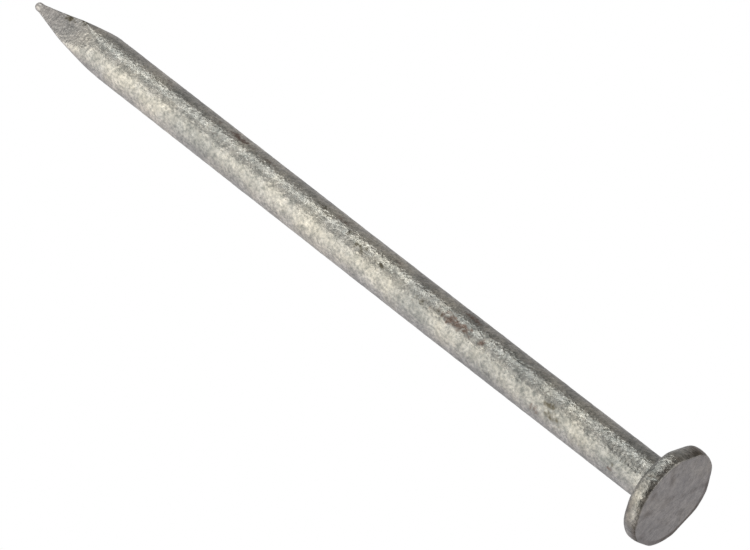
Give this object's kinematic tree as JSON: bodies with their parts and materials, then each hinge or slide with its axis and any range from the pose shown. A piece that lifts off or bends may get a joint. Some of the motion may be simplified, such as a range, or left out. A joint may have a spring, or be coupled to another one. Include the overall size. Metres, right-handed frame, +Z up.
{
  "type": "round wire nail",
  "caption": "Galvanised round plain head nail with a diamond point, for fixing timber; hammered in by its flat head and held by its shank.",
  "frame": {"origin": "on the shank's axis, in the plane of the head's bearing face, where the head meets the timber", "axes": "+X along the nail from the point to the head's striking face; the nail lies with +Z up"},
  "size_m": [0.0766, 0.009, 0.009],
  "materials": {
    "steel": "bright drawn mild steel, hidden under the zinc",
    "zinc": "hot-dip galvanised zinc, matt, mottled grey with bright spangle and brownish pits"
  },
  "bodies": {
    "root": {"steel_nail": "steel", "zinc_coating": "zinc"}
  },
  "joints": []
}
